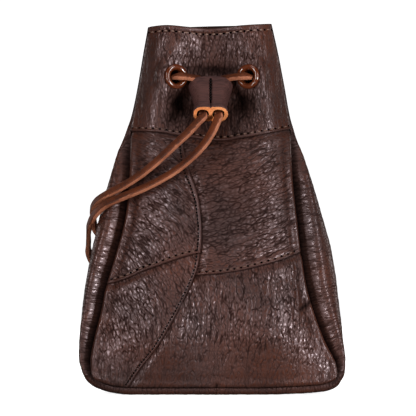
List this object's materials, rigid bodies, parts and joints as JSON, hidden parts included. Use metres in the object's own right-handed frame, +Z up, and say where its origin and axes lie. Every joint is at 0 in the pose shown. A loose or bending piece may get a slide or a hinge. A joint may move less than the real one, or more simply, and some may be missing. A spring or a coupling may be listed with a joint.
{
  "type": "medieval belt pouch",
  "caption": "Drawstring belt pouch of brown leather with a patchwork front, side strips, eyelets, a two-channel slider and a belt loop.",
  "frame": {"origin": "middle of the pouch's footprint on the surface that it stands on, without the free tails of the drawstring", "axes": "+Z up to the mouth, +X to the right as the front is looked at, the front faces -Y and the belt loop +Y"},
  "size_m": [0.1462, 0.0841, 0.2042],
  "materials": {
    "body_leather": "dark brown pebbled leather with a soft sheen and dark brown stitching",
    "slider_leather": "dark brown leather with tan cut edges",
    "lace_leather": "red-brown flat lace with lighter cut edges",
    "eyelet_enamel": "glossy copper-brown enamel on metal"
  },
  "bodies": {
    "root": {"front_yoke": "body_leather", "front_upper_left": "body_leather", "front_upper_right": "body_leather", "front_lower_left": "body_leather", "front_lower_right": "body_leather", "gusset_left": "body_leather", "gusset_right": "body_leather", "back_panel": "body_leather", "belt_loop": "body_leather", "cord_slider": "slider_leather", "drawstring_neck": "lace_leather", "drawstring_tail_left": "lace_leather", "drawstring_tail_right": "lace_leather", "eyelet_front_left": "eyelet_enamel", "eyelet_front_right": "eyelet_enamel", "eyelet_back_left": "eyelet_enamel", "eyelet_back_right": "eyelet_enamel"}
  },
  "joints": []
}
